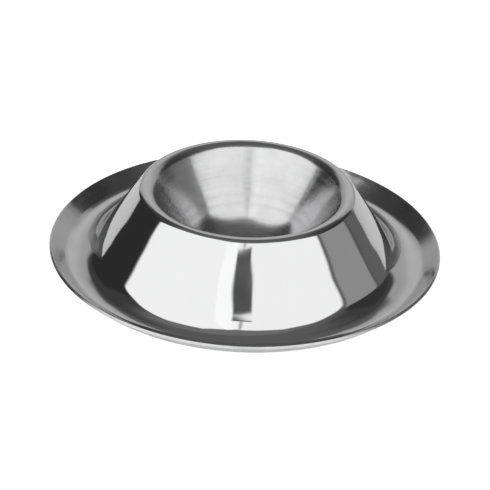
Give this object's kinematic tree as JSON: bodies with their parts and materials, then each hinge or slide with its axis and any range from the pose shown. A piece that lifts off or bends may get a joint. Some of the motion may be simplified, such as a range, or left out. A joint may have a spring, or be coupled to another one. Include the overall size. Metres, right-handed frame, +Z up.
{
  "type": "egg cup",
  "caption": "Low egg cup drawn in one piece with its round saucer from polished stainless steel sheet, with a satin conical bowl for a boiled egg.",
  "frame": {"origin": "centre of the flat ring that the cup stands on, at table height", "axes": "+Z up along the cup's axis; +X to the viewer's right and +Y away from the viewer in the picture"},
  "size_m": [0.085, 0.085, 0.0172],
  "materials": {
    "polished_steel": "stainless steel, mirror polished on the wall, crown and saucer, satin inside the bowl and under the cup"
  },
  "bodies": {
    "root": {"egg_cup_shell": "polished_steel"}
  },
  "joints": []
}
